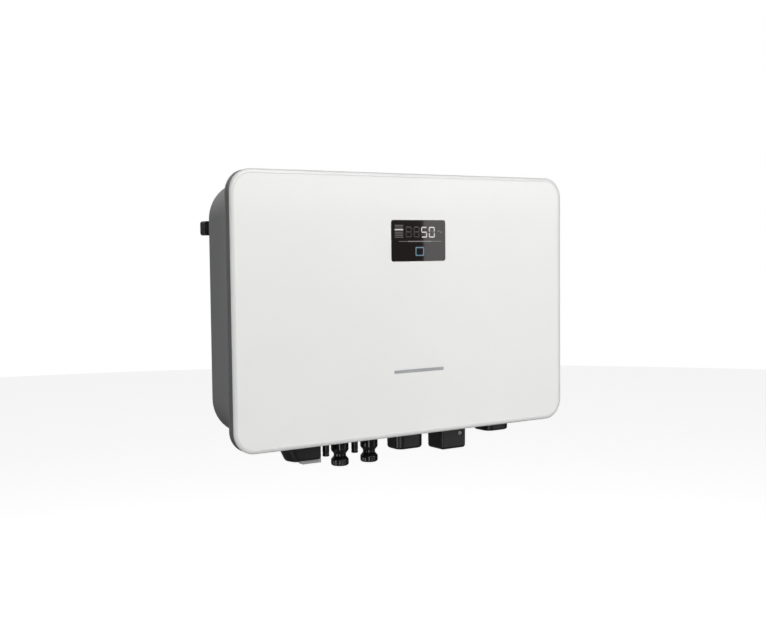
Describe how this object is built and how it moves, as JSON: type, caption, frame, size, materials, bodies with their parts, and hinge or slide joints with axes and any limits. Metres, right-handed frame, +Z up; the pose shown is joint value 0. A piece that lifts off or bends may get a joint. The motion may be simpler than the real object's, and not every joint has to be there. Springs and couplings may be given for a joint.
{
  "type": "string inverter",
  "caption": "Wall-hung solar string inverter: white cover with display, flared cast housing, heat sink, rail and hooks, plug-in connectors and a DC switch below.",
  "frame": {"origin": "on the wall, at the middle of the wall rail's back face", "axes": "+X to the right seen from the front, +Y into the wall, +Z up; the front cover faces -Y"},
  "size_m": [0.41, 0.15, 0.3044],
  "materials": {
    "white_coat": "satin white powder coat",
    "dark_coat": "fine dark grey powder coat",
    "cast_grey": "powder-coated die casting",
    "bare_aluminium": "extruded, as made",
    "black_steel": "black powder coat",
    "black_plastic": "fine moulded texture",
    "grey_plastic": "fine moulded texture",
    "smoked_glass": "dark polished window",
    "badge_grey": "satin",
    "steel": "zinc plated",
    "foam_rubber": "closed-cell foam",
    "thermal_rubber": "filled silicone",
    "board_green": "solder mask on glass fibre",
    "copper": "enamelled copper winding",
    "brass": "turned",
    "ferrite": "sintered",
    "capacitor_sleeve": "shrunk sleeve",
    "relay_case": "moulded case",
    "switch_red": "moulded case"
  },
  "bodies": {
    "wall_bracket": {"wall_rail": "black_steel", "rail_end_cap_left": "black_plastic", "rail_end_cap_right": "black_plastic"},
    "inverter": {"heat_sink": "bare_aluminium", "hanger_hook_left": "steel", "hanger_hook_right": "steel", "hook_screw_left": "steel", "hook_screw_right": "steel", "rear_housing": "cast_grey", "cover_pan": "dark_coat", "cover_gasket": "foam_rubber", "front_cover": "white_coat", "cover_screw_1": "steel", "cover_screw_2": "steel", "cover_screw_3": "steel", "cover_screw_4": "steel", "display_window": "smoked_glass", "badge_bar": "badge_grey", "digit_block": "black_plastic", "touch_sensor": "copper", "display_board": "board_green", "ac_connector_cover": "black_plastic", "comms_cover": "black_plastic", "comms_cover_screw": "steel", "accessory_socket": "black_plastic", "breather_valve": "black_plastic", "ground_screw": "steel", "slim_solar_port_1": "black_plastic", "slim_solar_port_2": "black_plastic", "thick_solar_port_1": "black_plastic", "thick_solar_port_2": "black_plastic", "dc_switch_body": "switch_red", "switch_guard": "black_plastic", "power_board": "board_green", "board_standoff_1": "brass", "board_standoff_2": "brass", "board_standoff_3": "brass", "board_standoff_4": "brass", "thermal_pad": "thermal_rubber", "power_module": "black_plastic", "bus_capacitor_1": "capacitor_sleeve", "bus_capacitor_2": "capacitor_sleeve", "bus_capacitor_3": "capacitor_sleeve", "bus_capacitor_4": "capacitor_sleeve", "boost_inductor_1": "copper", "boost_inductor_2": "copper", "filter_inductor": "copper", "dc_choke": "ferrite", "ac_choke": "ferrite", "transformer": "ferrite", "grid_relay_1": "relay_case", "grid_relay_2": "relay_case", "current_sensor": "black_plastic", "board_header": "black_plastic", "control_board": "board_green"},
    "dc_switch": {"switch_shaft": "steel", "switch_knob": "grey_plastic"},
    "dust_cap_1": {"dust_cap_1": "black_plastic"},
    "dust_cap_2": {"dust_cap_2": "black_plastic"},
    "port_cap": {"accessory_port_cap": "black_plastic"}
  },
  "joints": [
    {"name": "lift_off_rail", "type": "slide", "parent": "wall_bracket", "child": "inverter", "axis": [0, 0, 1], "range_m": [0, 0.02]},
    {"name": "dc_switch_turn", "type": "hinge", "parent": "inverter", "child": "dc_switch", "pos_m": [-0.106, -0.094, -0.2401], "axis": [0, 0, -1], "range_deg": [0, 90]},
    {"name": "dust_cap_1_pull", "type": "slide", "parent": "inverter", "child": "dust_cap_1", "axis": [0, 0, -1], "range_m": [0, 0.012]},
    {"name": "dust_cap_2_pull", "type": "slide", "parent": "inverter", "child": "dust_cap_2", "axis": [0, 0, -1], "range_m": [0, 0.012]},
    {"name": "port_cap_pull", "type": "slide", "parent": "inverter", "child": "port_cap", "axis": [0, 0, -1], "range_m": [0, 0.015]}
  ]
}
